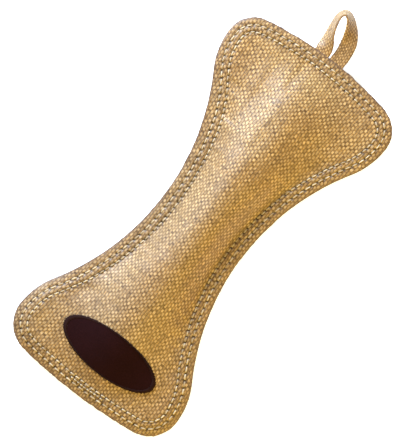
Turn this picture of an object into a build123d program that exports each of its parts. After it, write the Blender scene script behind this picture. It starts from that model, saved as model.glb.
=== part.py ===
"""Stuffed jute training bumper: a bone-shaped sewn pad with an oval patch and a hanging loop.

+X runs along the body towards the loop, +Y across it and +Z up. The origin is the middle of
the flat of the belly that the bumper rests on. All sizes are in millimetres.
"""

from build123d import *
from math import asin, atan2, cos, degrees, exp, pi, radians, sin, sqrt
import os

# Outline of the cut edge
BODY_LENGTH = 275.0
END_WIDTH = 128.7
WAIST_WIDTH = 65.5
SHOULDER_X = 112.8           # where the body is widest, from the middle
SHOULDER_RADIUS = 52.0
LOOP_END_RADIUS = 240.0      # the end edges bow out gently
PATCH_END_RADIUS = 365.0

# Cloth layers, from the seam plane outwards on both sides
SEAM_Z = 14.0                # height of the plane where the two halves meet
LINING = 0.6
LINING_GAP = 0.15            # clearance of each lining from the seam plane and the filling
CLOTH = 1.2
FELT = 0.8

# Stuffed shape
WAIST_RISE = 15.0            # crown of the upper half over the seam plane
END_RISE = 12.0
BELLY_DEPTH = 12.8           # the lower half, pressed flat where it rests
BELLY_SQUASH = 1.25
END_RAMP = 42.0              # length over which the stuffing rises from an end seam
TUBE_WIDTH = 25.0            # towards the ends the filling lies mostly along the middle
TUBE_SHARE = 0.6
TUBE_START = 22.0            # from the middle to where the tube begins to show
TUBE_BLEND = 68.0
SEAM_EASE = 0.2              # how softly the cloth leaves the flat flange
SURFACE_MARGIN = 4.0         # how far the shaping surfaces reach past the ends
SURFACE_STATIONS = 57        # sections along the body
SWOLLEN_POINTS = 27          # points across each section, over the stuffing
FLAT_POINTS = 5              # and over each flange
FLAT_REACH = 24.0
BLOCK_HEIGHT = 60.0

# Seams
OUTER_ROW = 5.0              # distance of each stitch row from the cut edge
INNER_ROW = 9.6
OUTER_PITCH = 4.9
INNER_PITCH = 4.1
SWELL_INSET = 10.8           # the stuffing starts just inside the inner row
FILLING_INSET = 12.2
STITCH_FILL = 0.86           # part of the pitch that shows as thread
THREAD = 0.9                 # width of the thread
THREAD_SINK = 0.15           # how far the thread is pulled into the cloth
CLOSING_ROW = 7.3
CLOSING_LENGTH = 26.0
CLOSING_PITCH = 2.6

# Oval patch
PATCH_X = -102.8
PATCH_Y = -2.2
PATCH_HALF_X = 14.5
PATCH_HALF_Y = 36.1
PATCH_TURN = -1.3
PATCH_STITCH_INSET = 1.6
PATCH_STITCH_PITCH = 3.0

# Hanging loop
TAPE_WIDTH = 11.0
TAPE_THICKNESS = 1.8
TAPE_ROOT_THICKNESS = 0.9    # the tape is pressed thin where the seams hold it
TAIL_LENGTH = 11.5
TAIL_OVERHANG = 0.1
# Middle of the tape: x past the cut edge, y, and the turn of its face from flat
TAPE_PATH = [
    (1.4, -4.6, 0),
    (7.0, -4.5, 0),
    (14.5, -3.4, 8),
    (22.0, -0.2, 40),
    (28.2, 4.6, 74),
    (30.4, 9.6, 90),
    (26.6, 12.6, 90),
    (19.0, 12.0, 84),
    (11.0, 9.9, 55),
    (5.4, 8.0, 20),
    (1.4, 7.2, 0),
]

HALF_LENGTH = BODY_LENGTH / 2
HALF_END = END_WIDTH / 2
HALF_WAIST = WAIST_WIDTH / 2


def waist_radius():
    """Radius of the waist arc that meets both shoulder arcs smoothly."""
    offset = HALF_WAIST - HALF_END + SHOULDER_RADIUS
    numerator = offset**2 + SHOULDER_X**2 - SHOULDER_RADIUS**2
    return numerator / (2 * (SHOULDER_RADIUS - offset))


def corner_radius(end_radius):
    """Radius of the corner that meets an end arc and a shoulder arc smoothly."""
    reach = SHOULDER_X - HALF_LENGTH + end_radius
    return (end_radius**2 - reach**2 - HALF_END**2) / (2 * end_radius - END_WIDTH)


WAIST_RADIUS = waist_radius()
WAIST_CENTRE_Y = HALF_WAIST + WAIST_RADIUS
SHOULDER_CENTRE_Y = HALF_END - SHOULDER_RADIUS
WAIST_ANGLE = degrees(asin(SHOULDER_X / (WAIST_RADIUS + SHOULDER_RADIUS)))


def end_radius_at(x):
    return LOOP_END_RADIUS if x > 0 else PATCH_END_RADIUS


def quarter_arcs(end_radius, inset):
    """End, corner, shoulder and waist arcs of one quarter: (centre x, centre y, radius, from, to)."""
    corner = corner_radius(end_radius)
    end_x = HALF_LENGTH - end_radius
    corner_y = HALF_END - corner
    end_angle = degrees(atan2(corner_y, SHOULDER_X - end_x))
    return [
        (end_x, 0, end_radius - inset, 0, end_angle),
        (SHOULDER_X, corner_y, corner - inset, end_angle, 90),
        (SHOULDER_X, SHOULDER_CENTRE_Y, SHOULDER_RADIUS - inset, 90, 90 + WAIST_ANGLE),
        (0, WAIST_CENTRE_Y, WAIST_RADIUS + inset, 270 + WAIST_ANGLE, 270),
    ]


def outline_edges(inset):
    """Edges of the cut outline, moved inwards by inset, in order round the body."""
    loop_end = quarter_arcs(LOOP_END_RADIUS, inset)
    patch_end = quarter_arcs(PATCH_END_RADIUS, inset)
    edges = []
    quarters = ((1, 1, loop_end), (-1, 1, patch_end), (-1, -1, patch_end), (1, -1, loop_end))
    for flip_x, flip_y, arcs in quarters:
        quarter = []
        for x, y, radius, start, stop in arcs:
            middle = (start + stop) / 2
            ends = [
                (flip_x * (x + radius * cos(radians(a))), flip_y * (y + radius * sin(radians(a))))
                for a in (start, middle, stop)
            ]
            if flip_x != flip_y:
                ends.reverse()
            quarter.append(ThreePointArc(*ends))
        if flip_x != flip_y:
            quarter.reverse()
        edges += quarter
    return edges


def prism(inset, bottom, top):
    """The outline, moved inwards by inset, as a block between two heights."""
    face = Face(Wire(outline_edges(inset)))
    return Pos(0, 0, bottom) * Solid.extrude(face, Vector(0, 0, top - bottom))


def half_width(x):
    """Half the width inside the swell line at x."""
    corner = corner_radius(end_radius_at(x))
    x = abs(x)
    if x > SHOULDER_X:
        inner = corner - SWELL_INSET
        return HALF_END - corner + sqrt(max(inner**2 - (x - SHOULDER_X) ** 2, 0.0))
    joint_x = (WAIST_RADIUS + SWELL_INSET) * sin(radians(WAIST_ANGLE))
    if x > joint_x:
        inner = SHOULDER_RADIUS - SWELL_INSET
        return SHOULDER_CENTRE_Y + sqrt(inner**2 - (SHOULDER_X - x) ** 2)
    return WAIST_CENTRE_Y - sqrt((WAIST_RADIUS + SWELL_INSET) ** 2 - x**2)


def end_gap(x, y):
    """Distance along X from a point to the swell line of the nearer end."""
    radius = end_radius_at(x)
    return HALF_LENGTH - radius + sqrt((radius - SWELL_INSET) ** 2 - y**2) - abs(x)


def swell(x, y):
    """Height of the stuffing at a point as a part of the local crown: 0 at the seam, 1 on top."""
    aside = min(abs(y) / half_width(x), 1.0)
    cushion = 1 - aside**2
    tube = exp(-((y / TUBE_WIDTH) ** 2)) * (1 - aside**4)
    widening = min(max((abs(x) - TUBE_START) / TUBE_BLEND, 0.0), 1.0)
    share = TUBE_SHARE * widening**2 * (3 - 2 * widening)
    across = cushion + share * (tube - cushion)
    ramp = min(max(end_gap(x, y) / END_RAMP, 0.0), 1.0)
    rise = across * (1 - (1 - ramp) ** 2.4)
    return rise * rise * (1 + SEAM_EASE) / (rise + SEAM_EASE)


def upper_height(x, y):
    """The seam plane and the swollen underside of the top lining."""
    fullness = min(abs(x) / SHOULDER_X, 1.0)
    crown = WAIST_RISE + (END_RISE - WAIST_RISE) * fullness**2
    return SEAM_Z + crown * swell(x, y)


def lower_height(x, y):
    """The seam plane and the swollen upper side of the bottom lining."""
    pressed = sin(pi / 2 * min(1.0, BELLY_SQUASH * swell(x, y)))
    return SEAM_Z - BELLY_DEPTH * pressed


def surface_row(x, height, shift):
    """Points of a swollen surface across the body at x, shifted along Z."""
    edge = half_width(x)
    steps = [2 * j / (SWOLLEN_POINTS - 1) - 1 for j in range(SWOLLEN_POINTS)]
    swollen = [edge * (0.7 * t + 0.3 * sin(pi / 2 * t)) for t in steps]
    flat = [edge + FLAT_REACH * (k + 1) / FLAT_POINTS for k in range(FLAT_POINTS)]
    ys = [-y for y in reversed(flat)] + swollen + flat
    return [Vector(x, y, height(x, y) + shift) for y in ys]


def section(x, low, low_shift, high, high_shift):
    """Closed section of the body at x, between a lower and an upper surface."""
    under = surface_row(x, low, low_shift)
    over = surface_row(x, high, high_shift)
    even = [j / (len(under) - 1) for j in range(len(under))]
    return Wire([
        Edge.make_spline(under, parameters=even),
        Edge.make_line(under[-1], over[-1]),
        Edge.make_spline(over, parameters=even),
        Edge.make_line(over[0], under[0]),
    ])


def between(low, low_shift, high, high_shift):
    """Smooth block between two swollen surfaces, reaching a little past the cut edge."""
    half = HALF_LENGTH + SURFACE_MARGIN
    steps = [2 * i / (SURFACE_STATIONS - 1) - 1 for i in range(SURFACE_STATIONS)]
    xs = [half * (0.55 * t + 0.45 * sin(pi / 2 * t)) for t in steps]
    return Solid.make_loft([section(x, low, low_shift, high, high_shift) for x in xs])


def upper_layer(inner, outer):
    """A layer over the stuffing; inner and outer count upwards from its surface."""
    return between(upper_height, inner, upper_height, outer)


def lower_layer(inner, outer):
    """A layer under the stuffing; inner and outer count downwards from its surface."""
    return between(lower_height, -outer, lower_height, -inner)


def top_panel():
    return upper_layer(LINING, LINING + CLOTH) & prism(0, 0, BLOCK_HEIGHT)


def bottom_panel():
    """Its lowest stretch is cut flat: the belly that rests on the ground."""
    return lower_layer(LINING, LINING + CLOTH) & prism(0, 0, BLOCK_HEIGHT)


def top_lining():
    return upper_layer(LINING_GAP, LINING) & prism(0, 0, BLOCK_HEIGHT)


def bottom_lining():
    return lower_layer(LINING_GAP, LINING) & prism(0, 0, BLOCK_HEIGHT)


def filling():
    """Everything between the linings, as one pad of fibre."""
    pad = prism(FILLING_INSET, 0, BLOCK_HEIGHT)
    return pad - upper_layer(0, BLOCK_HEIGHT) - lower_layer(0, BLOCK_HEIGHT)


def thread_bar(length):
    """One stitch: a half-round bar along X, its flat side down."""
    half_round = Plane.YZ * (Circle(THREAD / 2) & Pos(0, THREAD / 2) * Rectangle(2 * THREAD, THREAD))
    return Pos(-length / 2, 0, 0) * extrude(half_round, length)


def stitch_at(path, distance, bar, side):
    """A stitch on the flange at a distance along its row, turned to follow the row."""
    place = path.position_at(distance, position_mode=PositionMode.LENGTH)
    along = path.tangent_at(distance, position_mode=PositionMode.LENGTH)
    height = SEAM_Z + side * (LINING + CLOTH - THREAD_SINK)
    turn = degrees(atan2(along.Y, along.X))
    return Pos(place.X, place.Y, height) * Rot(0, 0, turn) * Rot(0 if side > 0 else 180, 0, 0) * bar


def seam_stitches(row, pitch, side):
    """A closed row of stitches round the flange; side is 1 above it and -1 below."""
    path = Wire(outline_edges(row))
    count = round(path.length / pitch)
    step = path.length / count
    bar = thread_bar(step * STITCH_FILL)
    return [stitch_at(path, (i + 0.5) * step, bar, side) for i in range(count)]


def closing_stitches(side):
    """The short dense row that closes the stuffing opening, in the middle of the patch end."""
    radius = PATCH_END_RADIUS - CLOSING_ROW
    count = round(CLOSING_LENGTH / CLOSING_PITCH)
    bar = thread_bar(CLOSING_PITCH * STITCH_FILL)
    arc = CenterArc((radius - HALF_LENGTH + CLOSING_ROW, 0), radius, 180, degrees(CLOSING_LENGTH / radius))
    arc = arc.rotate(Axis((arc.arc_center.X, 0, 0), (0, 0, 1)), -degrees(CLOSING_LENGTH / radius) / 2)
    return [stitch_at(arc, (i + 0.5) * CLOSING_PITCH, bar, side) for i in range(count)]


def patch_outline(inset):
    """The oval of the patch, moved inwards, in its place over the body."""
    oval = Ellipse(PATCH_HALF_X - inset, PATCH_HALF_Y - inset)
    return Pos(PATCH_X, PATCH_Y) * Rot(0, 0, PATCH_TURN) * oval


def oval_patch():
    outer = LINING + CLOTH
    return upper_layer(outer, outer + FELT) & extrude(patch_outline(0), BLOCK_HEIGHT)


def on_upper_surface(place, lift):
    """The point over a flat place, lifted off the surface of the stuffing."""
    return Vector(place.X, place.Y, upper_height(place.X, place.Y) + lift)


def patch_thread():
    """A running stitch on the patch, just inside its rim."""
    path = patch_outline(PATCH_STITCH_INSET).wire()
    count = round(path.length / PATCH_STITCH_PITCH)
    step = path.length / count
    bar = thread_bar(step * STITCH_FILL)
    lift = LINING + CLOTH + FELT - THREAD_SINK
    stitches = []
    for i in range(count):
        start, middle, stop = [
            on_upper_surface(path.position_at((i + part) * step, position_mode=PositionMode.LENGTH), lift)
            for part in (0.2, 0.5, 0.8)
        ]
        along = stop - start
        side = on_upper_surface(middle + Vector(-along.Y, along.X, 0), lift) - middle
        stitches.append(Plane(origin=middle, x_dir=along, z_dir=along.cross(side)) * bar)
    return stitches


def tail_blocks():
    """The two flat ends of the tape, pressed into the linings by both seams."""
    root = HALF_LENGTH + TAIL_OVERHANG
    tails = []
    for _, y, _ in (TAPE_PATH[0], TAPE_PATH[-1]):
        middle = Pos(root - TAIL_LENGTH / 2, y, SEAM_Z)
        tails.append(middle * Box(TAIL_LENGTH, TAPE_WIDTH, TAPE_ROOT_THICKNESS))
    return tails


def hanging_loop():
    """The tape past the cut edge: flat at both roots, turned on edge round the eye."""
    stations = []
    for i, (x, y, turn) in enumerate(TAPE_PATH):
        before = TAPE_PATH[max(i - 1, 0)]
        after = TAPE_PATH[min(i + 1, len(TAPE_PATH) - 1)]
        heading = atan2(after[1] - before[1], after[0] - before[0])
        if i == 0:
            heading = 0.0
        if i == len(TAPE_PATH) - 1:
            heading = pi
        at_root = i in (0, len(TAPE_PATH) - 1)
        thickness = TAPE_ROOT_THICKNESS if at_root else TAPE_THICKNESS
        across = Vector(-sin(heading), cos(heading), 0)
        width_way = across * cos(radians(turn)) + Vector(0, 0, 1) * sin(radians(turn))
        plane = Plane(
            origin=(HALF_LENGTH + x, y, SEAM_Z),
            x_dir=width_way,
            z_dir=(cos(heading), sin(heading), 0),
        )
        stations.append(plane * Rectangle(TAPE_WIDTH, thickness))
    return loft(stations)


def write(name, shape):
    """One STEP file for a node; a list becomes a group of separate solids."""
    solids = shape if isinstance(shape, list) else [shape]
    pieces = [piece for solid in solids for piece in solid.solids()]
    export_step(Compound(pieces) if len(pieces) > 1 else pieces[0], f"parts/{name}.step")


def main():
    os.makedirs("parts", exist_ok=True)
    write("top_panel", top_panel())
    write("bottom_panel", bottom_panel())
    write("top_lining", top_lining())
    write("bottom_lining", bottom_lining())
    write("filling", filling())
    write("outer_seam_needle_thread", seam_stitches(OUTER_ROW, OUTER_PITCH, 1))
    write("outer_seam_bobbin_thread", seam_stitches(OUTER_ROW, OUTER_PITCH, -1))
    write("inner_seam_needle_thread", seam_stitches(INNER_ROW, INNER_PITCH, 1))
    write("inner_seam_bobbin_thread", seam_stitches(INNER_ROW, INNER_PITCH, -1))
    write("closing_needle_thread", closing_stitches(1))
    write("closing_bobbin_thread", closing_stitches(-1))
    write("oval_patch", oval_patch())
    write("patch_thread", patch_thread())
    write("loop_tails", tail_blocks())
    write("hanging_loop", hanging_loop())


main()
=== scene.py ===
"""Looks of the stuffed jute training bumper: woven covers, seams, patch, tape loop and studio.

Lengths inside the functions are in millimetres, and become metres when a mesh is made. +X is
along the body towards the loop, +Y across it and +Z up, and the origin is under the belly.

Known fault: the faces of every piece except the felt patch are wound inwards. The materials' bump
was set with them that way, so turning the faces round also changes the look.
"""
import bpy
import numpy as np
from math import asin, atan, atan2, cos, pi, radians, sin
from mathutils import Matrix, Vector
from mathutils.kdtree import KDTree


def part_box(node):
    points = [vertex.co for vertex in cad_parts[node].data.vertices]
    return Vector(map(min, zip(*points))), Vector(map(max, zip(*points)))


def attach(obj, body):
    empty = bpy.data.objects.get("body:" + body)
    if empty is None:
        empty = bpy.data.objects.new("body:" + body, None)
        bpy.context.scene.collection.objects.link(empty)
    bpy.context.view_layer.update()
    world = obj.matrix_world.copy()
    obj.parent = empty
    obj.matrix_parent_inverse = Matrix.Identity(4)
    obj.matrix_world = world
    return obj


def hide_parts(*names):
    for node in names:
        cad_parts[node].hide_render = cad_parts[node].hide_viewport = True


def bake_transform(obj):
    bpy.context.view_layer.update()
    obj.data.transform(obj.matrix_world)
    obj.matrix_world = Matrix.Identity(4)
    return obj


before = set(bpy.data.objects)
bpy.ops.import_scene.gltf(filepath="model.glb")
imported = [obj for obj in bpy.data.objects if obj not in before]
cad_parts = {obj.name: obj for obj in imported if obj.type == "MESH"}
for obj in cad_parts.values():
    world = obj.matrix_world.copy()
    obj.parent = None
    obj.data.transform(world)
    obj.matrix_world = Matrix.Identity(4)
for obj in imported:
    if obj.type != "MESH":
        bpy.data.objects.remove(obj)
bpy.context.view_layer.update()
MM = 0.001


def cad_box(node):
    """Lowest and highest corner of a CAD node, in millimetres."""
    low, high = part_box(node)
    return np.array(low) / MM, np.array(high) / MM


# Sizes from the CAD parts in model.glb
BODY_HIGH = cad_box("top_panel")[1]
TAIL_LOW, TAIL_HIGH = cad_box("loop_tails")
PATCH_LOW, PATCH_HIGH = cad_box("oval_patch")
HALF_LENGTH = float(BODY_HIGH[0])
HALF_END = float(BODY_HIGH[1])
SEAM_Z = float(TAIL_LOW[2] + TAIL_HIGH[2]) / 2

# The outline's own arcs
HALF_WAIST = 32.75
SHOULDER_X = 112.8
SHOULDER_RADIUS = 52.0
LOOP_END_RADIUS = 240.0
PATCH_END_RADIUS = 365.0

# Cloth
LINING = 0.6                 # thickness of each lining
CLOTH = 1.2                  # thickness of each cover
WARP_PITCH = 1.88            # spacing of the yarns that run along the body
WEFT_PITCH = 1.70            # spacing of the yarns that run across it
WEAVE_DEPTH = 0.08
EDGE_WIDTH = 0.9             # width of the frayed edge
HOLE_DEPTH = 0.55            # how far a needle hole pulls the cloth down
HOLE_WIDTH = 1.05
HOLE_REACH = 1.6             # no point further than this from a hole is marked

# Stuffing
SWELL_INSET = 10.8           # the swell starts this far inside the cut edge
SEAM_EASE = 0.2              # how softly it leaves the seam
END_RAMP = 42.0              # it takes this length to rise from an end
TUBE_WIDTH = 25.0            # towards the ends the filling lies mostly along the middle
TUBE_SHARE = 0.6
TUBE_START = 22.0            # that begins this far from the waist
TUBE_BLEND = 68.0            # and is complete this much further out
WAIST_RISE = 15.0
END_RISE = 12.0
LOOP_END_DROP = 2.4          # the crown is this much lower at the loop end
BELLY_DEPTH = 12.6
PAD_GAP = 0.4                # between the filling and the linings

# Seams; a row's place is its distance from the cut edge
OUTER_ROW = 5.0
INNER_ROW = 9.6
OUTER_PITCH = 4.9
INNER_PITCH = 4.1
CLOSING_ROW = 7.3
CLOSING_LENGTH = 26.0
CLOSING_PITCH = 2.6
CLOSING_Y = -4.0             # middle of the closing row
ROW_SHIFT = 0.8              # the rows run this much further in on the side towards +Y
ROW_SHIFT_PEAK = 1.4         # and this much more than that near ROW_SHIFT_X
ROW_SHIFT_X = 62.0
ROW_PRESS = 0.16             # how far a row presses the cloth down
ROW_PUFF = 0.1               # how far the cloth stands up between the two rows
FLANGE_DROOP = 1.3           # how far the flange's edge hangs
DROOP_REACH = 11.0           # and how far in from the edge that reaches
PATCH_END_LEAN = 1.6         # share added to the droop at the patch end
THREAD_RADIUS = 0.43
THREAD_LAY = 1.5             # length of one turn of its plies
STITCH_DIVE = 0.75           # how far a stitch goes down at its ends

# Hollows of the upper cover: depth, middle, length, steep side, gentle side, turn in degrees
CREASE = (1.6, (99, 25.0), 25, 3.4, 11.0, 2)
DIMPLE = (0.6, (116, 11.5), 12, 2.4, 5.0, 0)

# Tape
TAPE_WIDTH = 11.0
TAPE = 1.7                   # its thickness in the open
TAPE_RELEASED = 1.2          # where the covers let go of it
TAPE_PRESSED = 0.8           # between the covers
TAIL_BUMP = 0.45             # how far the sewn-in tape ends raise the cover

# Grid of the covers: cells along and across, each a multiple of COARSE
ALONG = 440
ACROSS = 168
COARSE = 4

RANDOM = np.random.default_rng(7)


# ---------------------------------------------------------------- outline

def waist_radius():
    """Radius of the hollow waist arc, which meets the shoulders without a corner."""
    offset = HALF_WAIST - HALF_END + SHOULDER_RADIUS
    return (offset**2 + SHOULDER_X**2 - SHOULDER_RADIUS**2) / (2 * (SHOULDER_RADIUS - offset))


def corner_radius(end_radius):
    """Radius of the corner arc between an end arc and the widest point of the body."""
    reach = SHOULDER_X - HALF_LENGTH + end_radius
    return (end_radius**2 - reach**2 - HALF_END**2) / (2 * end_radius - 2 * HALF_END)


WAIST_RADIUS = waist_radius()
WAIST_CENTRE_Y = HALF_WAIST + WAIST_RADIUS
SHOULDER_CENTRE_Y = HALF_END - SHOULDER_RADIUS
WAIST_ANGLE = asin(SHOULDER_X / (WAIST_RADIUS + SHOULDER_RADIUS))


def end_arcs(end_radius):
    """End and corner arcs of one quarter: (centre x, centre y, radius, from, to)."""
    corner = corner_radius(end_radius)
    end_x = HALF_LENGTH - end_radius
    corner_y = HALF_END - corner
    meet = atan2(corner_y, SHOULDER_X - end_x)
    return (end_x, 0, end_radius, 0, meet), (SHOULDER_X, corner_y, corner, meet, pi / 2)


def arc_points(arc, start, stop, inset, flip_x=1):
    """Closely spaced points of an arc moved inwards; the waist arc is the only hollow one."""
    x, y, radius = arc[:3]
    radius += inset if radius == WAIST_RADIUS else -inset
    angles = np.linspace(start, stop, 400)
    return np.stack([flip_x * (x + radius * np.cos(angles)), y + radius * np.sin(angles)], 1)


def side_curve(inset=0.0):
    """The +Y side, from the middle of the patch end's corner to the middle of the loop end's."""
    shoulder = (SHOULDER_X, SHOULDER_CENTRE_Y, SHOULDER_RADIUS)
    waist = (0, WAIST_CENTRE_Y, WAIST_RADIUS)
    parts = []
    for end_radius, flip in ((PATCH_END_RADIUS, -1), (LOOP_END_RADIUS, 1)):
        corner = end_arcs(end_radius)[1]
        middle = (corner[3] + corner[4]) / 2
        half = np.concatenate([
            arc_points(corner, middle, pi / 2, inset, flip),
            arc_points(shoulder, pi / 2, pi / 2 + WAIST_ANGLE, inset, flip),
            arc_points(waist, 3 * pi / 2 + WAIST_ANGLE, 3 * pi / 2, inset, flip),
        ])
        parts.append(half if flip < 0 else half[::-1])
    return np.concatenate(parts)


def end_curve(flip, inset=0.0):
    """One end edge, from the middle of its lower corner to the middle of its upper corner."""
    end, corner = end_arcs(LOOP_END_RADIUS if flip > 0 else PATCH_END_RADIUS)
    middle = (corner[3] + corner[4]) / 2
    upper = np.concatenate([
        arc_points(end, 0, end[4], inset, flip),
        arc_points(corner, corner[3], middle, inset, flip),
    ])
    return np.concatenate([(upper * (1, -1))[::-1], upper])


def resample(points, fractions, closed=False):
    """Points at the given fractions of a polyline's length."""
    if closed:
        points = np.concatenate([points, points[:1]])
    steps = np.hypot(*np.diff(points, axis=0).T)
    run = np.concatenate([[0.0], np.cumsum(steps)])
    at = np.asarray(fractions) * run[-1]
    return np.stack([np.interp(at, run, points[:, k]) for k in range(2)], -1)


def whole_outline(inset):
    """The closed outline, moved inwards by inset, anticlockwise from the lower loop-end corner."""
    top = side_curve(inset)[::-1]
    left = end_curve(-1, inset)[::-1]
    bottom = side_curve(inset) * (1, -1)
    return np.concatenate([end_curve(1, inset), top, left, bottom])


def edge_distance(x, y):
    """Distance inwards from the cut edge, exact near the edge."""
    distance = np.full(x.shape, 1e3)
    ax, ay = np.abs(x), np.abs(y)
    shoulder = (SHOULDER_X, SHOULDER_CENTRE_Y, SHOULDER_RADIUS, pi / 2, pi / 2 + WAIST_ANGLE)
    for flip, end_radius in ((-1, PATCH_END_RADIUS), (1, LOOP_END_RADIUS)):
        side = x * flip >= 0
        for cx, cy, radius, start, stop in (*end_arcs(end_radius), shoulder):
            angle = np.arctan2(ay - cy, ax - cx)
            near = side & (angle >= start - 1e-3) & (angle <= stop + 1e-3)
            inside = radius - np.hypot(ax - cx, ay - cy)
            distance = np.where(near, np.minimum(distance, inside), distance)
        waist = np.hypot(ax, ay - WAIST_CENTRE_Y) - WAIST_RADIUS
        near = side & (ax < (WAIST_CENTRE_Y - ay) * np.tan(WAIST_ANGLE))
        distance = np.where(near, np.minimum(distance, waist), distance)
    return distance


def cover_grid():
    """Flat x and y of the cover's grid, fitted to the outline by blending its four edges."""
    u = np.linspace(0, 1, ALONG + 1)
    v = np.linspace(0, 1, ACROSS + 1)
    top = resample(side_curve(), u)
    bottom = top * (1, -1)
    left = resample(end_curve(-1), v)
    right = resample(end_curve(1), v)
    a, b = u[:, None, None], v[None, :, None]
    grid = (1 - b) * bottom[:, None] + b * top[:, None] + (1 - a) * left[None] + a * right[None]
    grid -= (
        (1 - a) * (1 - b) * bottom[0] + a * (1 - b) * bottom[-1]
        + (1 - a) * b * top[0] + a * b * top[-1]
    )
    return grid[..., 0], grid[..., 1]


# ---------------------------------------------------------------- surfaces

def noise(x, y, size, seed):
    """Smooth value noise from -1 to 1 with lumps of about the given size."""
    table = np.random.default_rng(seed).uniform(-1, 1, (64, 64))
    gx, gy = x / size + 100.5, y / size + 100.5
    i, j = np.floor(gx).astype(int), np.floor(gy).astype(int)
    fx, fy = gx - i, gy - j
    fx, fy = fx * fx * (3 - 2 * fx), fy * fy * (3 - 2 * fy)
    corner = [[table[(i + a) % 64, (j + b) % 64] for b in (0, 1)] for a in (0, 1)]
    low = corner[0][0] * (1 - fy) + corner[0][1] * fy
    high = corner[1][0] * (1 - fy) + corner[1][1] * fy
    return low * (1 - fx) + high * fx


def noises(x, y, layers):
    """Sum of noise layers, each given as its amount, size and seed."""
    return sum(amount * noise(x, y, size, seed) for amount, size, seed in layers)


def bump(x, y, centre, length, width):
    """A soft hill of height 1, with its length along X."""
    return np.exp(-((x - centre[0]) / length) ** 4 - ((y - centre[1]) / width) ** 2)


def valley(x, y, centre, length, steep, gentle, turn):
    """A hollow of depth 1 at turn degrees from X, steep towards +Y and gentle the other way."""
    aside = y - centre[1] - (x - centre[0]) * sin(radians(turn))
    width = np.where(aside > 0, steep, gentle)
    return np.exp(-((x - centre[0]) / length) ** 4 - (aside / width) ** 2)


def half_width(x):
    """Half the width inside the swell line."""
    ax = np.abs(x)
    corner = np.where(x > 0, corner_radius(LOOP_END_RADIUS), corner_radius(PATCH_END_RADIUS))
    past = np.sqrt(np.maximum((corner - SWELL_INSET) ** 2 - (ax - SHOULDER_X) ** 2, 0))
    past = HALF_END - corner + past
    inner = SHOULDER_RADIUS - SWELL_INSET
    shoulder = SHOULDER_CENTRE_Y + np.sqrt(np.maximum(inner**2 - (SHOULDER_X - ax) ** 2, 0))
    outer = WAIST_RADIUS + SWELL_INSET
    waist = WAIST_CENTRE_Y - np.sqrt(outer**2 - np.minimum(ax, 140) ** 2)
    meet = outer * sin(WAIST_ANGLE)
    return np.where(ax > SHOULDER_X, past, np.where(ax > meet, shoulder, waist))


def swell(x, y):
    """Stuffed height as a part of the local crown: 0 at the seam, 1 on top."""
    aside = np.minimum(np.abs(y) / half_width(x), 1.0)
    cushion = 1 - aside**2
    tube = np.exp(-((y / TUBE_WIDTH) ** 2)) * (1 - aside**4)
    widening = np.clip((np.abs(x) - TUBE_START) / TUBE_BLEND, 0, 1)
    share = TUBE_SHARE * widening * widening * (3 - 2 * widening)
    across = cushion + share * (tube - cushion)
    radius = np.where(x > 0, LOOP_END_RADIUS, PATCH_END_RADIUS)
    end_x = HALF_LENGTH - radius + np.sqrt(np.maximum((radius - SWELL_INSET) ** 2 - y**2, 0))
    ramp = np.clip((end_x - np.abs(x)) / END_RAMP, 0, 1)
    rise = across * (1 - (1 - ramp) ** 2.4)
    return rise * rise * (1 + SEAM_EASE) / (rise + SEAM_EASE)


def weave(x, y):
    """Height of the weave, about 0 to 1: long warp floats along X in staggered rows."""
    wx, wy = x / WEFT_PITCH, y / WARP_PITCH
    row = np.round(wy)
    return 0.55 + 0.45 * np.cos(pi * wx) * np.cos(pi * row) - 3.5 * (wy - row) ** 4


def seam_marks(distance):
    """How far the cloth stands out at the stitch rows, and how far the flange droops."""
    rows = sum(np.exp(-((distance - row) / 0.9) ** 2) for row in (OUTER_ROW, INNER_ROW))
    puffed = np.exp(-((distance - (OUTER_ROW + INNER_ROW) / 2) / 1.6) ** 2)
    drooping = np.clip(1 - distance / DROOP_REACH, 0, 1) ** 1.6
    return ROW_PUFF * puffed - ROW_PRESS * rows, FLANGE_DROOP * drooping


def row_shift(x, y):
    """How much further in the rows were sewn along the side towards +Y."""
    fade = np.clip((100 - np.abs(x)) / 25, 0, 1) * (y > 0)
    return fade * (ROW_SHIFT + ROW_SHIFT_PEAK * np.exp(-(((x - ROW_SHIFT_X) / 24) ** 2)))


def lean(x):
    """How many times its normal droop the flange hangs; more at the patch end."""
    return 1.0 + PATCH_END_LEAN * np.clip((-x - 60) / 50, 0, 1)


def puckers(x, y, distance):
    """Small gathers that run in from the seam."""
    along = noise(x, y * 0.15, 3.4, 11) + 0.6 * noise(x + 40, y * 0.15, 6.5, 12)
    fade = np.exp(-((distance - INNER_ROW - 4.0) / 4.5) ** 2)
    return 0.32 * along * fade


def upper_base(x, y):
    """Top of the upper cover without its weave."""
    distance = edge_distance(x, y)
    fullness = np.minimum(np.abs(x) / SHOULDER_X, 1.0)
    crown = WAIST_RISE + (END_RISE - WAIST_RISE) * fullness**2
    crown = crown - LOOP_END_DROP * np.clip((x - 40) / 50, 0, 1)
    stuffed = swell(x, y)
    z = SEAM_Z + LINING + CLOTH + crown * stuffed
    z += stuffed * noises(x, y, ((0.45, 26, 3), (0.2, 11, 4)))
    from_edge = distance - row_shift(x, y)
    relief, droop = seam_marks(from_edge)
    z += relief - droop * lean(x) + puckers(x, y, from_edge)
    z += noises(x, y, ((0.15, 14, 5), (0.1, 6, 14)))
    depth, *place = CREASE
    z -= depth * valley(x, y, *place) * stuffed
    z += 0.3 * noise(x * 0.22, y, 7, 13) * stuffed * np.exp(-(((x - 55) / 40) ** 2))
    depth, *place = DIMPLE
    z -= depth * valley(x, y, *place)
    for tail_y in (TAIL_LOW[1] + TAPE_WIDTH / 2, TAIL_HIGH[1] - TAPE_WIDTH / 2):
        z += TAIL_BUMP * bump(x, y, (HALF_LENGTH - 5, tail_y), 9, 6.5)
    return z


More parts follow.
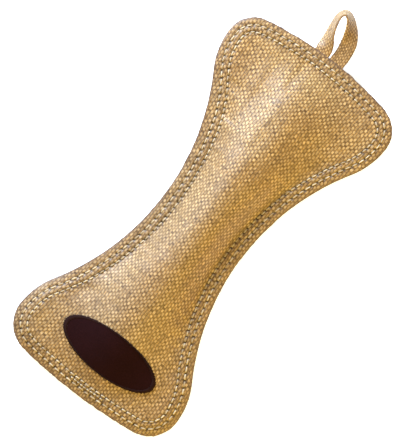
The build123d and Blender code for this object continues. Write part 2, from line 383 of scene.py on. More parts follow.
def lower_base(x, y):
    """Underside of the lower cover without its weave; the belly is pressed flat."""
    distance = edge_distance(x, y)
    stuffed = swell(x, y)
    pressed = np.sin(pi / 2 * np.minimum(1.0, 1.3 * stuffed))
    z = SEAM_Z - LINING - CLOTH - BELLY_DEPTH * pressed
    from_edge = distance - row_shift(x, y)
    relief, droop = seam_marks(from_edge)
    z -= relief + droop * lean(x) + puckers(x + 31, y, from_edge)
    z += 0.2 * noise(x, y, 17, 8) * (1 - stuffed)
    return np.maximum(z, 0.25)


# ---------------------------------------------------------------- meshes

def make_mesh(name, points, faces, attributes=None):
    """A smooth-shaded piece, with one float or vector per point for each attribute."""
    mesh = bpy.data.meshes.new(name)
    mesh.from_pydata((np.asarray(points) * MM).tolist(), [], faces)
    for key, values in (attributes or {}).items():
        values = np.asarray(values, np.float32)
        kind = "FLOAT_VECTOR" if values.ndim == 2 else "FLOAT"
        layer = mesh.attributes.new(key, kind, "POINT")
        layer.data.foreach_set("vector" if values.ndim == 2 else "value", values.ravel())
    mesh.validate()
    mesh.shade_smooth()
    piece = bpy.data.objects.new(name, mesh)
    bpy.context.scene.collection.objects.link(piece)
    return piece


def grid_faces(rows, columns, start=0, flip=False):
    """Quads of a grid of points, rows by columns."""
    index = start + np.arange(rows * columns).reshape(rows, columns)
    quads = np.stack([index[:-1, :-1], index[1:, :-1], index[1:, 1:], index[:-1, 1:]], -1)
    quads = quads.reshape(-1, 4)
    return (quads[:, ::-1] if flip else quads).tolist()


def rim_indices(rows, columns):
    """Indices round the border of a grid, anticlockwise seen from above."""
    index = np.arange(rows * columns).reshape(rows, columns)
    return np.concatenate([index[:-1, 0], index[-1, :-1], index[:0:-1, -1], index[0, :0:-1]])


def sheet_mesh(name, x, y, z, back_z, attributes, flip):
    """A closed layer: a fine outer face, a coarser inner face and a wall between their rims."""
    rows, columns = x.shape
    outer = np.stack([x, y, z], -1).reshape(-1, 3)
    cx, cy = x[::COARSE, ::COARSE], y[::COARSE, ::COARSE]
    inner = np.stack([cx, cy, back_z], -1).reshape(-1, 3)
    faces = grid_faces(rows, columns, 0, flip)
    faces += grid_faces(*cx.shape, len(outer), not flip)
    rim = rim_indices(rows, columns)
    coarse_rim = rim_indices(*cx.shape) + len(outer)
    for k in range(len(coarse_rim)):
        fine = [int(rim[(k * COARSE + s) % len(rim)]) for s in range(COARSE + 1)]
        wall = [int(coarse_rim[k]), int(coarse_rim[(k + 1) % len(coarse_rim)])] + fine[::-1]
        faces.append(wall[::-1] if flip else wall)
    padded = {}
    for key, values in attributes.items():
        values = np.asarray(values)
        extra = values[::COARSE, ::COARSE]
        tail = values.shape[2:]
        padded[key] = np.concatenate([values.reshape(-1, *tail), extra.reshape(-1, *tail)])
    return make_mesh(name, np.concatenate([outer, inner]), faces, padded)


def even_layer(name, outer, inner, shape, flip):
    """A closed layer between two coarse grids of the same shape."""
    count = len(outer)
    faces = grid_faces(*shape, 0, flip) + grid_faces(*shape, count, not flip)
    rim = rim_indices(*shape).tolist()
    for a, b in zip(rim, rim[1:] + rim[:1]):
        wall = [a, b, b + count, a + count]
        faces.append(wall[::-1] if flip else wall)
    return make_mesh(name, np.concatenate([outer, inner]), faces)


def cloth_coordinates(x, y, z):
    """Where each point lies in the cloth before it swells: lengths measured over the surface."""
    dx = np.diff(x, axis=0)
    dz = np.diff(z, axis=0)
    along = np.concatenate([np.zeros((1, x.shape[1])), np.cumsum(np.hypot(dx, dz), 0)])
    along -= along[ALONG // 2][None]
    dy = np.diff(y, axis=1)
    dz = np.diff(z, axis=1)
    across = np.concatenate([np.zeros((x.shape[0], 1)), np.cumsum(np.hypot(dy, dz), 1)], 1)
    across -= across[:, ACROSS // 2][:, None]
    return along + x[ALONG // 2][None], across


def hole_marks(x, y, holes):
    """1 at a needle hole, falling to 0 within a thread's width."""
    marks = np.zeros(x.size)
    points = np.stack([x.ravel(), y.ravel()], 1)
    tree = KDTree(len(points))
    for k, (px, py) in enumerate(points):
        tree.insert((px, py, 0), k)
    tree.balance()
    for hx, hy in holes:
        for _, k, distance in tree.find_range((hx, hy, 0), HOLE_REACH):
            marks[k] = max(marks[k], float(np.exp(-((distance / HOLE_WIDTH) ** 2))))
    return marks.reshape(x.shape)


def cover(name, base, side, holes):
    """One jute cover with its weave in the surface."""
    x, y = cover_grid()
    smooth_z = base(x, y)
    along, across = cloth_coordinates(x, y, smooth_z)
    distance = edge_distance(x, y)
    drift = [
        noises(x, y, ((0.5, 19, 21 + k), (0.4, 5.5, 25 + k), (0.2, 2.6, 27 + k)))
        for k in (0, 1)
    ]
    cloth = np.stack([along + drift[0], across + drift[1], distance], -1)
    woven = weave(cloth[..., 0], cloth[..., 1])
    marks = hole_marks(x, y, holes)
    relief = WEAVE_DEPTH * (2 * woven - 1) - HOLE_DEPTH * marks
    fray = noises(x, y, ((0.22, 1.3, 31), (0.2, 5, 32)))
    edge = np.exp(-(np.maximum(distance, 0) / EDGE_WIDTH) ** 2)
    z = smooth_z + side * relief - side * 0.25 * edge
    if side < 0:
        z = np.maximum(z, 0.02 + 0.16 * (1 - woven))
    norm = np.maximum(np.hypot(x, y), 1)
    x, y = x + fray * edge * x / norm, y + fray * edge * y / norm
    back = (smooth_z - side * CLOTH)[::COARSE, ::COARSE]
    return sheet_mesh(name, x, y, z, back, {"cloth": cloth, "hole": marks}, side > 0)


def lining(name, base, side):
    """A thin inner cloth that shows as a line along the cut edge."""
    x, y = cover_grid()
    x, y = x[::COARSE, ::COARSE], y[::COARSE, ::COARSE]
    smooth_z = base(x, y) - side * (CLOTH + 0.05)
    scale = 1 - 0.25 / HALF_END
    outer = np.stack([x * scale, y * scale, smooth_z], -1).reshape(-1, 3)
    inner = outer - (0, 0, side * (LINING - 0.1))
    return even_layer(name, outer, inner, x.shape, side > 0)


def fibre_pad():
    """The filling: a closed pad just inside the linings."""
    x, y = cover_grid()
    x, y = x[::COARSE, ::COARSE] * 0.905, y[::COARSE, ::COARSE] * 0.84
    top = upper_base(x, y) - CLOTH - LINING - PAD_GAP
    low = lower_base(x, y) + CLOTH + LINING + PAD_GAP
    low = np.minimum(low, top - 0.2)
    upper = np.stack([x, y, top], -1).reshape(-1, 3)
    lower = np.stack([x, y, low], -1).reshape(-1, 3)
    return even_layer("fibre_pad", upper, lower, x.shape, True)


# ---------------------------------------------------------------- thread

def ring_quads(rings, sides):
    """Quads between neighbouring rings of a tube."""
    quads = []
    for i in range(rings - 1):
        for k in range(sides):
            m = (k + 1) % sides
            quads.append([i * sides + k, i * sides + m, (i + 1) * sides + m, (i + 1) * sides + k])
    return quads


def thread_tube(points, ups, radius, twist, sides=8):
    """A two-ply thread along points, its plies turning once every twist millimetres."""
    points, ups = np.asarray(points), np.asarray(ups)
    tangents = np.gradient(points, axis=0)
    tangents /= np.linalg.norm(tangents, axis=1)[:, None]
    aside = np.cross(tangents, ups)
    aside /= np.linalg.norm(aside, axis=1)[:, None]
    ups = np.cross(aside, tangents)
    run = np.concatenate([[0], np.cumsum(np.linalg.norm(np.diff(points, axis=0), axis=1))])
    angle = np.linspace(0, 2 * pi, sides, endpoint=False)
    lobe = 1 + 0.16 * np.cos(2 * (angle[None] - 2 * pi * run[:, None] / twist))
    wide = (radius * lobe * np.cos(angle))[..., None]
    high = (radius * lobe * np.sin(angle))[..., None]
    ring = aside[:, None] * wide + ups[:, None] * high * 0.85
    verts = (points[:, None] + ring).reshape(-1, 3)
    last = (len(points) - 1) * sides
    faces = ring_quads(len(points), sides)
    faces.append(list(range(sides))[::-1])
    faces.append([last + k for k in range(sides)])
    return verts, faces


def join_parts(name, parts):
    """Many small meshes as one piece, each with its own random tint."""
    verts, faces, tint, start = [], [], [], 0
    for part_verts, part_faces in parts:
        verts.append(part_verts)
        faces += [[start + k for k in face] for face in part_faces]
        tint.append(np.full(len(part_verts), RANDOM.uniform(0, 1)))
        start += len(part_verts)
    return make_mesh(name, np.concatenate(verts), faces, {"tint": np.concatenate(tint)})


def stitch(start, stop, base, side):
    """One stitch between two needle holes, lying on the cloth and diving at both ends."""
    t = np.linspace(0.17, 0.83, 11)
    xy = np.outer(1 - t, start) + np.outer(t, stop)
    across = np.array([-(stop - start)[1], (stop - start)[0]])
    xy += np.outer(np.sin(pi * t), across / np.linalg.norm(across)) * RANDOM.normal(0, 0.08)
    arch = 1 - np.abs((t - 0.5) / 0.33) ** 3.5
    cloth = base(xy[:, 0], xy[:, 1])
    z = cloth + side * (THREAD_RADIUS * 0.55 - STITCH_DIVE * (1 - arch))
    points = np.column_stack([xy, z])
    ups = np.tile((0.0, 0.0, float(side)), (len(t), 1))
    return thread_tube(points, ups, THREAD_RADIUS * RANDOM.uniform(0.93, 1.07), THREAD_LAY)


def needle_holes(inset, pitch, phase):
    """Where the needle went in, round a closed row."""
    row = whole_outline(inset)
    length = np.hypot(*np.diff(np.concatenate([row, row[:1]]), axis=0).T).sum()
    count = round(length / pitch)
    jitter = RANDOM.normal(0, 0.035, count)
    holes = resample(row, (np.arange(count) + phase + jitter) / count, closed=True)
    holes[:, 1] -= row_shift(holes[:, 0], holes[:, 1])
    return holes + RANDOM.normal(0, 0.09, holes.shape)


def closing_holes():
    """The short dense row in the middle of the patch end."""
    radius = PATCH_END_RADIUS - CLOSING_ROW
    centre = PATCH_END_RADIUS - HALF_LENGTH
    count = round(CLOSING_LENGTH / CLOSING_PITCH)
    angles = pi + (np.arange(count + 1) - count / 2) * CLOSING_PITCH / radius
    holes = np.stack([centre + radius * np.cos(angles), radius * np.sin(angles) + CLOSING_Y], 1)
    return holes + RANDOM.normal(0, 0.2, holes.shape)


def stitch_row(name, holes, base, side, closed=True):
    """One side of a row: a stitch from each needle hole to the next."""
    pairs = list(zip(holes, np.roll(holes, -1, 0) if closed else holes[1:]))
    return join_parts(name, [stitch(a, b, base, side) for a, b in pairs])


# ---------------------------------------------------------------- patch

PATCH_CENTRE = (PATCH_LOW[:2] + PATCH_HIGH[:2]) / 2
PATCH_HALF = (PATCH_HIGH[:2] - PATCH_LOW[:2]) / 2
PATCH_TURN = radians(-1.3)
FELT = 0.8                   # its thickness
FELT_RIM = 1.3               # width of its rounded rim
RINGS, SPOKES = 48, 220      # of its mesh
PATCH_STITCHES = 210
PATCH_THREAD_RADIUS = 0.3
PATCH_THREAD_LAY = 1.2


def on_patch(radius, angle):
    """Point of the oval at a part of its radius."""
    px = radius * PATCH_HALF[0] * np.cos(angle)
    py = radius * PATCH_HALF[1] * np.sin(angle)
    c, s = cos(PATCH_TURN), sin(PATCH_TURN)
    return PATCH_CENTRE[0] + px * c - py * s, PATCH_CENTRE[1] + px * s + py * c


def felt_patch():
    """A felt oval that follows the cover, with a rounded and slightly pulled-down rim."""
    angle = np.linspace(0, 2 * pi, SPOKES, endpoint=False)
    verts = []
    for level in np.linspace(0, 1, RINGS + 1)[1:]:
        wobble = 1 + level**8 * 0.004 * noise(20 * np.cos(angle), 20 * np.sin(angle), 1.5, 41)
        px, py = on_patch(level * wobble, angle)
        rim = np.clip((1 - level) * PATCH_HALF[0] / FELT_RIM, 0, 1)
        lift = FELT * np.sqrt(1 - (1 - rim) ** 2) + 0.06 * noise(px, py, 0.9, 42)
        verts.append(np.stack([px, py, upper_base(px, py) + lift], 1))
    cx, cy = on_patch(np.zeros(1), np.zeros(1))
    centre = np.stack([cx, cy, upper_base(cx, cy) + FELT], 1)
    below = verts[-1] - (0, 0, 0.25)
    base_centre = centre - (0, 0, FELT + 0.2)
    points = np.concatenate([*verts, centre, below, base_centre])
    count = RINGS * SPOKES
    last = count - SPOKES
    faces = []
    for k in range(SPOKES):
        m = (k + 1) % SPOKES
        faces.append([count, k, m])
        for r in range(0, last, SPOKES):
            faces.append([r + k, r + SPOKES + k, r + SPOKES + m, r + m])
        faces.append([last + k, count + 1 + k, count + 1 + m, last + m])
        faces.append([count + 1 + k, count + 1 + SPOKES, count + 1 + m])
    return make_mesh("felt_patch", points, faces)


def patch_stitching():
    """Close over-and-over stitches round the rim of the patch."""
    t = np.linspace(0, 1, 7)
    ups = np.tile((0.0, 0.0, 1.0), (len(t), 1))
    lift = (FELT + 0.12) * np.sqrt(np.clip(1 - t**4, 0, 1))
    parts = []
    for k in range(PATCH_STITCHES):
        angle = 2 * pi * (k + RANDOM.normal(0, 0.08)) / PATCH_STITCHES
        inner = np.array(on_patch(0.935 + RANDOM.normal(0, 0.006), angle))
        outer = np.array(on_patch(1.012 + RANDOM.normal(0, 0.006), angle + 0.012))
        xy = np.outer(1 - t, inner) + np.outer(t, outer)
        z = upper_base(xy[:, 0], xy[:, 1]) + lift - 0.25 * (t < 0.01)
        points = np.column_stack([xy, z])
        parts.append(thread_tube(points, ups, PATCH_THREAD_RADIUS, PATCH_THREAD_LAY, sides=6))
    return join_parts("patch_stitching", parts)


# ---------------------------------------------------------------- tape loop

TAPE_FINENESS = 1.35         # its yarns are this many times closer than those of the covers
TAPE_INSET = 30.0            # its points count as this far inside the edge, so it has no dark rim
TAPE_RINGS = 230             # cross-sections along it
# Middle of the tape past the cut edge: x, y, turn of its face from flat, and thickness
TAPE_ROUTE = np.array([
    (-11.0, -4.6, 0, TAPE_PRESSED),
    (-4.0, -4.6, 0, TAPE_PRESSED),
    (1.4, -4.6, 0, TAPE_RELEASED),
    (7.0, -4.5, 2, TAPE),
    (14.5, -3.4, 10, TAPE),
    (22.0, -0.2, 36, TAPE),
    (28.2, 4.6, 57, TAPE),
    (30.4, 9.6, 64, TAPE),
    (26.6, 12.6, 71, TAPE),
    (19.0, 12.0, 68, TAPE),
    (11.0, 9.9, 54, TAPE),
    (5.4, 8.0, 24, TAPE),
    (1.4, 7.2, 5, TAPE_RELEASED),
    (-4.0, 7.2, 0, TAPE_PRESSED),
    (-11.0, 7.2, 0, TAPE_PRESSED),
])


def smooth_route(route, count):
    """Catmull-Rom curve through the route, evenly spaced by length."""
    padded = np.concatenate([2 * route[:1] - route[1:2], route, 2 * route[-1:] - route[-2:-1]])
    fine = []
    for k in range(len(route) - 1):
        a, b, c, d = padded[k:k + 4]
        t = np.linspace(0, 1, 40, endpoint=False)[:, None]
        square, cube = 2 * a - 5 * b + 4 * c - d, 3 * b - a - 3 * c + d
        fine.append(0.5 * (2 * b + (c - a) * t + square * t**2 + cube * t**3))
    fine = np.concatenate(fine + [route[-1:]])
    run = np.concatenate([[0], np.cumsum(np.hypot(*np.diff(fine[:, :2], axis=0).T))])
    at = np.linspace(0, run[-1], count)
    return np.stack([np.interp(at, run, fine[:, k]) for k in range(fine.shape[1])], 1), at


def tape_loop():
    """The whole tape, from one sewn-in end round the eye to the other."""
    route, run = smooth_route(TAPE_ROUTE, TAPE_RINGS)
    xy = route[:, :2] + (HALF_LENGTH, 0)
    heading = np.gradient(xy, axis=0)
    heading /= np.linalg.norm(heading, axis=1)[:, None]
    turn = np.radians(route[:, 2])
    flat = np.zeros(TAPE_RINGS)
    aside = np.column_stack([-heading[:, 1], heading[:, 0], flat])
    width_way = aside * np.cos(turn)[:, None] + np.outer(np.sin(turn), (0, 0, 1))
    face_way = np.cross(np.column_stack([heading, flat]), width_way)
    w = np.linspace(-1, 1, 30)
    edge = np.sqrt(1 - 0.75 * w**10)
    ring = np.concatenate([np.stack([w, edge], 1), np.stack([w[::-1], -edge], 1)])
    count = len(ring)
    verts, cloth = [], []
    for k in range(TAPE_RINGS):
        at = np.full(count, run[k])
        rib = 0.14 * weave(at * TAPE_FINENESS, ring[:, 0] * TAPE_WIDTH / 2 * TAPE_FINENESS)
        frayed = 1 + 0.03 * noise(at, ring[:, 0], 1.1, 51)
        across = ring[:, 0] * (TAPE_WIDTH / 2) * frayed
        half = route[k, 3] / 2
        out = np.sign(ring[:, 1]) * (np.abs(ring[:, 1]) * (half - 0.1) + rib)
        centre = np.array([xy[k, 0], xy[k, 1], SEAM_Z])
        verts.append(centre + np.outer(across, width_way[k]) + np.outer(out, face_way[k]))
        cloth.append(np.stack([at, across, np.full(count, TAPE_INSET)], 1) * TAPE_FINENESS)
    last = (TAPE_RINGS - 1) * count
    faces = ring_quads(TAPE_RINGS, count)
    faces.append(list(range(count)))
    faces.append([last + s for s in range(count)][::-1])
    return make_mesh("tape_loop", np.concatenate(verts), faces, {"cloth": np.concatenate(cloth)})


# ---------------------------------------------------------------- materials

class Graph:
    """Short way to build a material's nodes."""

    def __init__(self, name):
        self.material = bpy.data.materials.new(name)
        self.material.use_nodes = True
        self.nodes = self.material.node_tree.nodes
        self.links = self.material.node_tree.links
        self.shader = self.nodes["Principled BSDF"]

    def add(self, kind, inputs=None, **settings):
        node = self.nodes.new("ShaderNode" + kind)
        for key, value in settings.items():
            setattr(node, key, value)
        for key, value in (inputs or {}).items():
            self.put(node.inputs[key], value)
        return node

    def put(self, socket, value):
        if isinstance(value, bpy.types.NodeSocket):
            self.links.new(value, socket)
        else:
            socket.default_value = value

    def math(self, operation, a, b=0.0, c=0.0, clamp=False):
        node = self.add("Math", {0: a, 1: b, 2: c}, operation=operation, use_clamp=clamp)
        return node.outputs[0]

    def tinted(self, colour, tint, factor=1.0):
        return self.mix(factor, colour, tint, "MULTIPLY")

    def mix(self, factor, a, b, blend="MIX"):
        node = self.add("Mix", data_type="RGBA", blend_type=blend)
        self.put(node.inputs["Factor"], factor)
        self.put(node.inputs["A"], a)
        self.put(node.inputs["B"], b)
        return node.outputs["Result"]

    def ramp(self, value, stops):
        node = self.add("ValToRGB", {"Fac": value})
        while len(node.color_ramp.elements) < len(stops):
            node.color_ramp.elements.new(0.5)
        for element, (place, colour) in zip(node.color_ramp.elements, stops):
            element.position = place
            element.color = colour
        return node.outputs["Color"]

    def grain(self, vector, scale, detail=2.0, rough=0.5):
        inputs = {"Vector": vector, "Scale": scale, "Detail": detail, "Roughness": rough}
        return self.add("TexNoise", inputs).outputs["Fac"]

    def bump(self, height, strength, distance):
        inputs = {"Height": height, "Strength": strength, "Distance": distance}
        return self.add("Bump", inputs).outputs[0]

    def surface(self, colour, roughness, normal=None, **fixed):
        self.put(self.shader.inputs["Base Color"], colour)
        self.put(self.shader.inputs["Roughness"], roughness)
        if normal is not None:
            self.put(self.shader.inputs["Normal"], normal)
        for key, value in fixed.items():
            socket = key.replace("_", " ").title().replace("Ior", "IOR")
            self.shader.inputs[socket].default_value = value
        return self.material


def rgb(red, green, blue):
    """A linear colour from its 0 to 255 screen values."""
    def linear(value):
        value /= 255
        return value / 12.92 if value <= 0.04045 else ((value + 0.055) / 1.055) ** 2.4
    return (linear(red), linear(green), linear(blue), 1.0)


# What the jute's colour is multiplied by in each part. The flange's greyer tone is the cloth's
# own; the stuffed part's more golden tint is painted warm shade.
FLANGE_TINT = (0.72, 0.71, 0.71, 1)
STUFFED_TONE_AND_WARM_SHADE = (0.78, 0.765, 0.72, 1)
# Towards the patch end the cloth is greyer in its own tone and darker with painted shade.
PATCH_END_TONE_AND_SHADE = (0.785, 0.79, 0.87, 1)
LOOP_END_TINT = (0.9, 0.875, 0.83, 1)
TAPE_TINT = (0.64, 0.595, 0.53, 1)
RIM_WIDTH = 1.7              # of the dark cut edge


def weave_nodes(g, x, y):
    """The weave in the material: float wave, gap between rows, and the crossing's numbers."""
    wx = g.math("DIVIDE", x, WEFT_PITCH)
    wy = g.math("DIVIDE", y, WARP_PITCH)
    i, j = g.math("ROUND", wx), g.math("ROUND", wy)
    along = g.math("COSINE", g.math("MULTIPLY", wx, pi))
    wave = g.math("MULTIPLY", along, g.math("COSINE", g.math("MULTIPLY", j, pi)))
    aside = g.math("ABSOLUTE", g.math("MULTIPLY", g.math("SUBTRACT", wy, j), 2.0))
    gap = g.math("POWER", aside, 4.0)
    return wave, gap, i, j


def jute_material(name, tape=False):
    """Plain-woven jute: light floats, gaps darkened with painted shade, uneven yarns, slubs and
    fuzz.
    """
    g = Graph(name)
    cloth = g.add("Attribute", attribute_name="cloth").outputs["Vector"]
    place = g.add("TexCoord").outputs["Object"]
    x, y, inset = g.add("SeparateXYZ", {0: cloth}).outputs
    wave, gap, i, j = weave_nodes(g, x, y)
    colour = g.ramp(g.math("MULTIPLY_ADD", wave, 0.5, 0.5), [
        (0.0, rgb(149, 122, 78)),
        (0.35, rgb(181, 155, 109)),
        (0.62, rgb(201, 179, 136)),
        (1.0, rgb(208, 188, 148)),
    ])
    # The gaps between the rows of yarn are darkened with painted shade.
    colour = g.mix(g.math("MULTIPLY", gap, 0.95), colour, rgb(60, 33, 6))
    over = g.math("GREATER_THAN", wave, 0.0)
    warp_place = {0: g.math("MULTIPLY", x, 0.035), 1: j, 2: 0.0}
    warp_line = g.add("CombineXYZ", warp_place).outputs[0]
    weft_place = {0: i, 1: g.math("MULTIPLY", y, 0.035), 2: 5.0}
    weft_line = g.add("CombineXYZ", weft_place).outputs[0]
    yarns = {"Factor": over, "A": g.grain(weft_line, 0.9, 1.0), "B": g.grain(warp_line, 0.9, 1.0)}
    tint = g.add("Mix", yarns, data_type="FLOAT").outputs[0]
    shade = g.ramp(tint, [
        (0.3, (0.7, 0.66, 0.6, 1)),
        (0.5, (1, 1, 1, 1)),
        (0.7, (1.2, 1.18, 1.12, 1)),
    ])
    colour = g.tinted(colour, shade, 0.8)
    crossing = g.add("CombineXYZ", {0: i, 1: j, 2: over}).outputs[0]
    chance = g.add("TexWhiteNoise", {"Vector": crossing}).outputs["Value"]
    uneven = g.ramp(chance, [
        (0.0, (0.56, 0.48, 0.34, 1)),
        (0.4, (0.99, 0.97, 0.93, 1)),
        (1.0, (1.24, 1.24, 1.24, 1)),
    ])
    colour = g.tinted(colour, uneven, 0.75)
    patches = g.ramp(g.grain(place, 28.0, 3.0), [
        (0.3, rgb(230, 202, 152)),
        (0.7, rgb(252, 238, 212)),
    ])
    colour = g.tinted(colour, patches, 0.6)
    if tape:
        colour = g.tinted(colour, TAPE_TINT)
    else:
        # The stuffed part is made more golden than the flange: painted warm shade.
        stuffed = g.math("DIVIDE", g.math("SUBTRACT", inset, 9.0), 7.0, clamp=True)
        colour = g.tinted(colour, g.mix(stuffed, FLANGE_TINT, STUFFED_TONE_AND_WARM_SHADE))
        # Greyer and darker towards the patch end: the greyer tone is the cloth's own, the
        # darkening is painted shade.
        lengthwise = g.math("MULTIPLY_ADD", x, 0.5 / HALF_LENGTH, 0.5, clamp=True)
        colour = g.tinted(colour, g.mix(lengthwise, PATCH_END_TONE_AND_SHADE, LOOP_END_TINT))
        rim = g.math("SUBTRACT", 1.0, g.math("DIVIDE", inset, RIM_WIDTH), clamp=True)
        colour = g.mix(g.math("MULTIPLY", rim, 0.8), colour, rgb(80, 56, 46))
        # Needle holes are darkened with painted shade.
        hole = g.add("Attribute", attribute_name="hole").outputs["Fac"]
        colour = g.mix(g.math("MULTIPLY", hole, 0.95), colour, rgb(30, 16, 10))
    turned = {"Vector": cloth, "Rotation": (0, 0, 0.6), "Scale": (1.3, 9.0, 1.0)}
    fibres = g.grain(g.add("Mapping", turned).outputs[0], 1.0, 4.0, 0.65)
    streaks = g.ramp(fibres, [
        (0.32, (0.42, 0.34, 0.21, 1)),
        (0.5, (1, 1, 1, 1)),
        (0.7, (1.4, 1.38, 1.34, 1)),
    ])
    colour = g.tinted(colour, streaks, 0.72)
    stretched = {"Vector": cloth, "Scale": (0.8, 1.0, 1.0)}
    slubs = g.grain(g.add("Mapping", stretched).outputs[0], 0.8, 2.0, 0.6)
    mottle = g.ramp(slubs, [
        (0.3, (0.66, 0.59, 0.46, 1)),
        (0.5, (1.03, 1.03, 1.02, 1)),
        (0.7, (1.45, 1.46, 1.46, 1)),
    ])
    colour = g.tinted(colour, mottle, 0.75)
    height = g.math("SUBTRACT", g.math("MULTIPLY", wave, 0.2), g.math("MULTIPLY", gap, 0.25))
    relief = g.math("ADD", height, g.math("MULTIPLY", fibres, 0.3))
    normal = g.bump(relief, 0.7, 0.0003)
    rough = g.math("MULTIPLY_ADD", fibres, 0.25, 0.36)
    gloss = {"sheen_weight": 0.1, "sheen_roughness": 0.5, "specular_ior_level": 0.5}
    return g.surface(colour, rough, normal, **gloss)


def thread_material(name, dark, light, rough, gloss=0.4, sheen=0.15):
    """Thread whose stitches differ a little in colour."""
    g = Graph(name)
    tint = g.add("Attribute", attribute_name="tint").outputs["Fac"]
    place = g.add("TexCoord").outputs["Object"]
    fibres = g.grain(place, 2600.0, 3.0, 0.6)
    lightness = g.math("MULTIPLY_ADD", tint, 0.6, g.math("MULTIPLY", fibres, 0.4))
    colour = g.mix(lightness, dark, light)
    normal = g.bump(fibres, 0.3, 0.0001)
    return g.surface(colour, rough, normal, sheen_weight=sheen, specular_ior_level=gloss)


def felt_material(name):
    """Dark matted felt."""
    g = Graph(name)
    place = g.add("TexCoord").outputs["Object"]
    fibres = g.grain(place, 1500.0, 5.0, 0.7)
    cloudy = g.grain(place, 90.0, 3.0)
    colour = g.mix(cloudy, rgb(26, 9, 11), rgb(33, 12, 14))
    matted = g.ramp(fibres, [(0.35, (0.5, 0.5, 0.5, 1)), (0.75, (1.6, 1.5, 1.5, 1))])
    colour = g.tinted(colour, matted, 0.5)
    normal = g.bump(fibres, 0.5, 0.0002)
    return g.surface(colour, 0.95, normal, specular_ior_level=0.05)


def plain_cloth(name, first, second, scale):
    """Fibres of two colours, for what hardly shows."""
    g = Graph(name)
    place = g.add("TexCoord").outputs["Object"]
    fibres = g.grain(place, scale, 4.0, 0.6)
    normal = g.bump(fibres, 0.4, 0.0002)
    return g.surface(g.mix(fibres, first, second), 0.9, normal, sheen_weight=0.1)


# ---------------------------------------------------------------- assembly

def dress(piece, material, nodes, body="body"):
    """Give a piece its material, the CAD nodes it replaces and the body it rides."""
    piece.data.materials.append(material)
    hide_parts(*nodes)
    if body:
        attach(piece, body)
    return piece


def build_body():
    """Covers, linings, filling and the three rows of stitches."""
    jute = jute_material("jute")
    seam = thread_material("seam_thread", rgb(128, 106, 74), rgb(208, 193, 162), 0.6)
    grey = plain_cloth("lining_cloth", rgb(96, 86, 92), rgb(130, 118, 120), 1200.0)
    white = plain_cloth("fibre", rgb(215, 212, 205), rgb(240, 238, 232), 300.0)
    rows = {
        "outer_seam": needle_holes(OUTER_ROW, OUTER_PITCH, 0.0),
        "inner_seam": needle_holes(INNER_ROW, INNER_PITCH, 0.4),
        "closing": closing_holes(),
    }
    holes = np.concatenate(list(rows.values()))
    top = dress(cover("jute_top", upper_base, 1, holes), jute, ["top_panel"])
    bottom = dress(cover("jute_bottom", lower_base, -1, holes), jute, ["bottom_panel"])
    dress(lining("lining_top", upper_base, 1), grey, ["top_lining"])
    dress(lining("lining_bottom", lower_base, -1), grey, ["bottom_lining"])
    pad = dress(fibre_pad(), white, ["filling"])
    for row, places in rows.items():
        for kind, base, side in (("needle", upper_base, 1), ("bobbin", lower_base, -1)):
            piece = stitch_row(f"{row}_{kind}", places, base, side, closed=row != "closing")
            dress(piece, seam, [f"{row}_{kind}_thread"])


def build_patch():
    """The felt oval and its stitches."""
    dress(felt_patch(), felt_material("felt"), ["oval_patch"])
    dark = thread_material("patch_stitching", rgb(26, 10, 10), rgb(38, 18, 16), 0.8, 0.1, 0.0)
    dress(patch_stitching(), dark, ["patch_thread"])


def build_loop():
    """The tape, baked in place and attached to no body."""
    material = jute_material("tape_jute", tape=True)
    tape = dress(tape_loop(), material, ["hanging_loop", "loop_tails"], None)
    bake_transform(tape)


# ---------------------------------------------------------------- studio

IMAGE_TURN = 52.6            # the long axis stands this far from the picture's horizontal
VIEW_HEIGHT = 290.2          # what the picture's height spans at the body
VIEW_CENTRE = (2.0, 1.75, 16.0)
CAMERA_DISTANCE = 1400.0
FLOOR_SIZE = 3.0             # metres
FLOOR_GLOW = (0.82, 0.92, 1.0, 1)
FLOOR_GLOW_STRENGTH = 0.74
SKY_COLOUR = (1.0, 0.94, 0.84, 1)
SKY_STRENGTH = 0.3
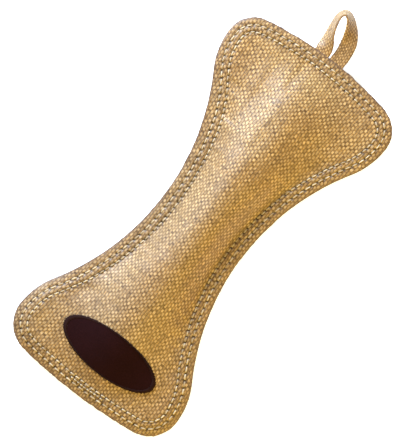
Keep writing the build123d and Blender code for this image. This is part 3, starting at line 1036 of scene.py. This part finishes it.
# Lights: metres to the side of the body and up, width in metres, power in watts, colour
KEY = (1.16, 0.58, 0.5, 45.0, (0.9, 1.0, 1.18))
FILL = (-0.95, 0.65, 1.2, 23.0, (1.0, 0.7, 0.13))


def studio():
    """White floor that gives off some light, a dim sky and two lights on opposite sides."""
    bpy.ops.mesh.primitive_plane_add(size=FLOOR_SIZE, location=(0, 0, -0.0002))
    floor = bpy.context.active_object
    floor.name = "floor"
    g = Graph("floor_paper")
    fine = g.grain(g.add("TexCoord").outputs["Object"], 60.0, 3.0)
    paper = g.mix(fine, (0.88, 0.91, 0.94, 1), (0.9, 0.93, 0.96, 1))
    glow = {"emission_color": FLOOR_GLOW, "emission_strength": FLOOR_GLOW_STRENGTH}
    g.surface(paper, 0.9, specular_ior_level=0.1, **glow)
    floor.data.materials.append(g.material)

    world = bpy.data.worlds.new("studio")
    world.use_nodes = True
    sky = world.node_tree.nodes["Background"]
    sky.inputs["Color"].default_value = SKY_COLOUR
    sky.inputs["Strength"].default_value = SKY_STRENGTH
    bpy.context.scene.world = world

    aim = Vector((0, 0, 0.015))
    across = Vector((0.6, 1.0, 0.0)).normalized()
    for name, (aside, up, width, power, tone) in (("key", KEY), ("fill", FILL)):
        place = across * aside + Vector((0, 0, up))
        data = bpy.data.lights.new(name, "AREA")
        data.size = width
        data.energy = power
        data.color = tone
        light = bpy.data.objects.new(name, data)
        light.location = place
        light.rotation_euler = (aim - place).to_track_quat("-Z", "Y").to_euler()
        bpy.context.scene.collection.objects.link(light)


def camera():
    """Straight down on the bumper, turned so that its loop is at the upper right."""
    data = bpy.data.cameras.new("camera")
    data.sensor_fit = "VERTICAL"
    data.angle_y = 2 * atan(VIEW_HEIGHT / 2 / CAMERA_DISTANCE)
    data.clip_end = 20
    eye = bpy.data.objects.new("camera", data)
    eye.location = Vector(VIEW_CENTRE) * MM + Vector((0, 0, CAMERA_DISTANCE * MM))
    eye.rotation_euler = (0, 0, -radians(IMAGE_TURN))
    bpy.context.scene.collection.objects.link(eye)
    bpy.context.scene.camera = eye


camera()
studio()
build_body()
build_patch()
build_loop()
bpy.context.scene.view_settings.view_transform = "Standard"
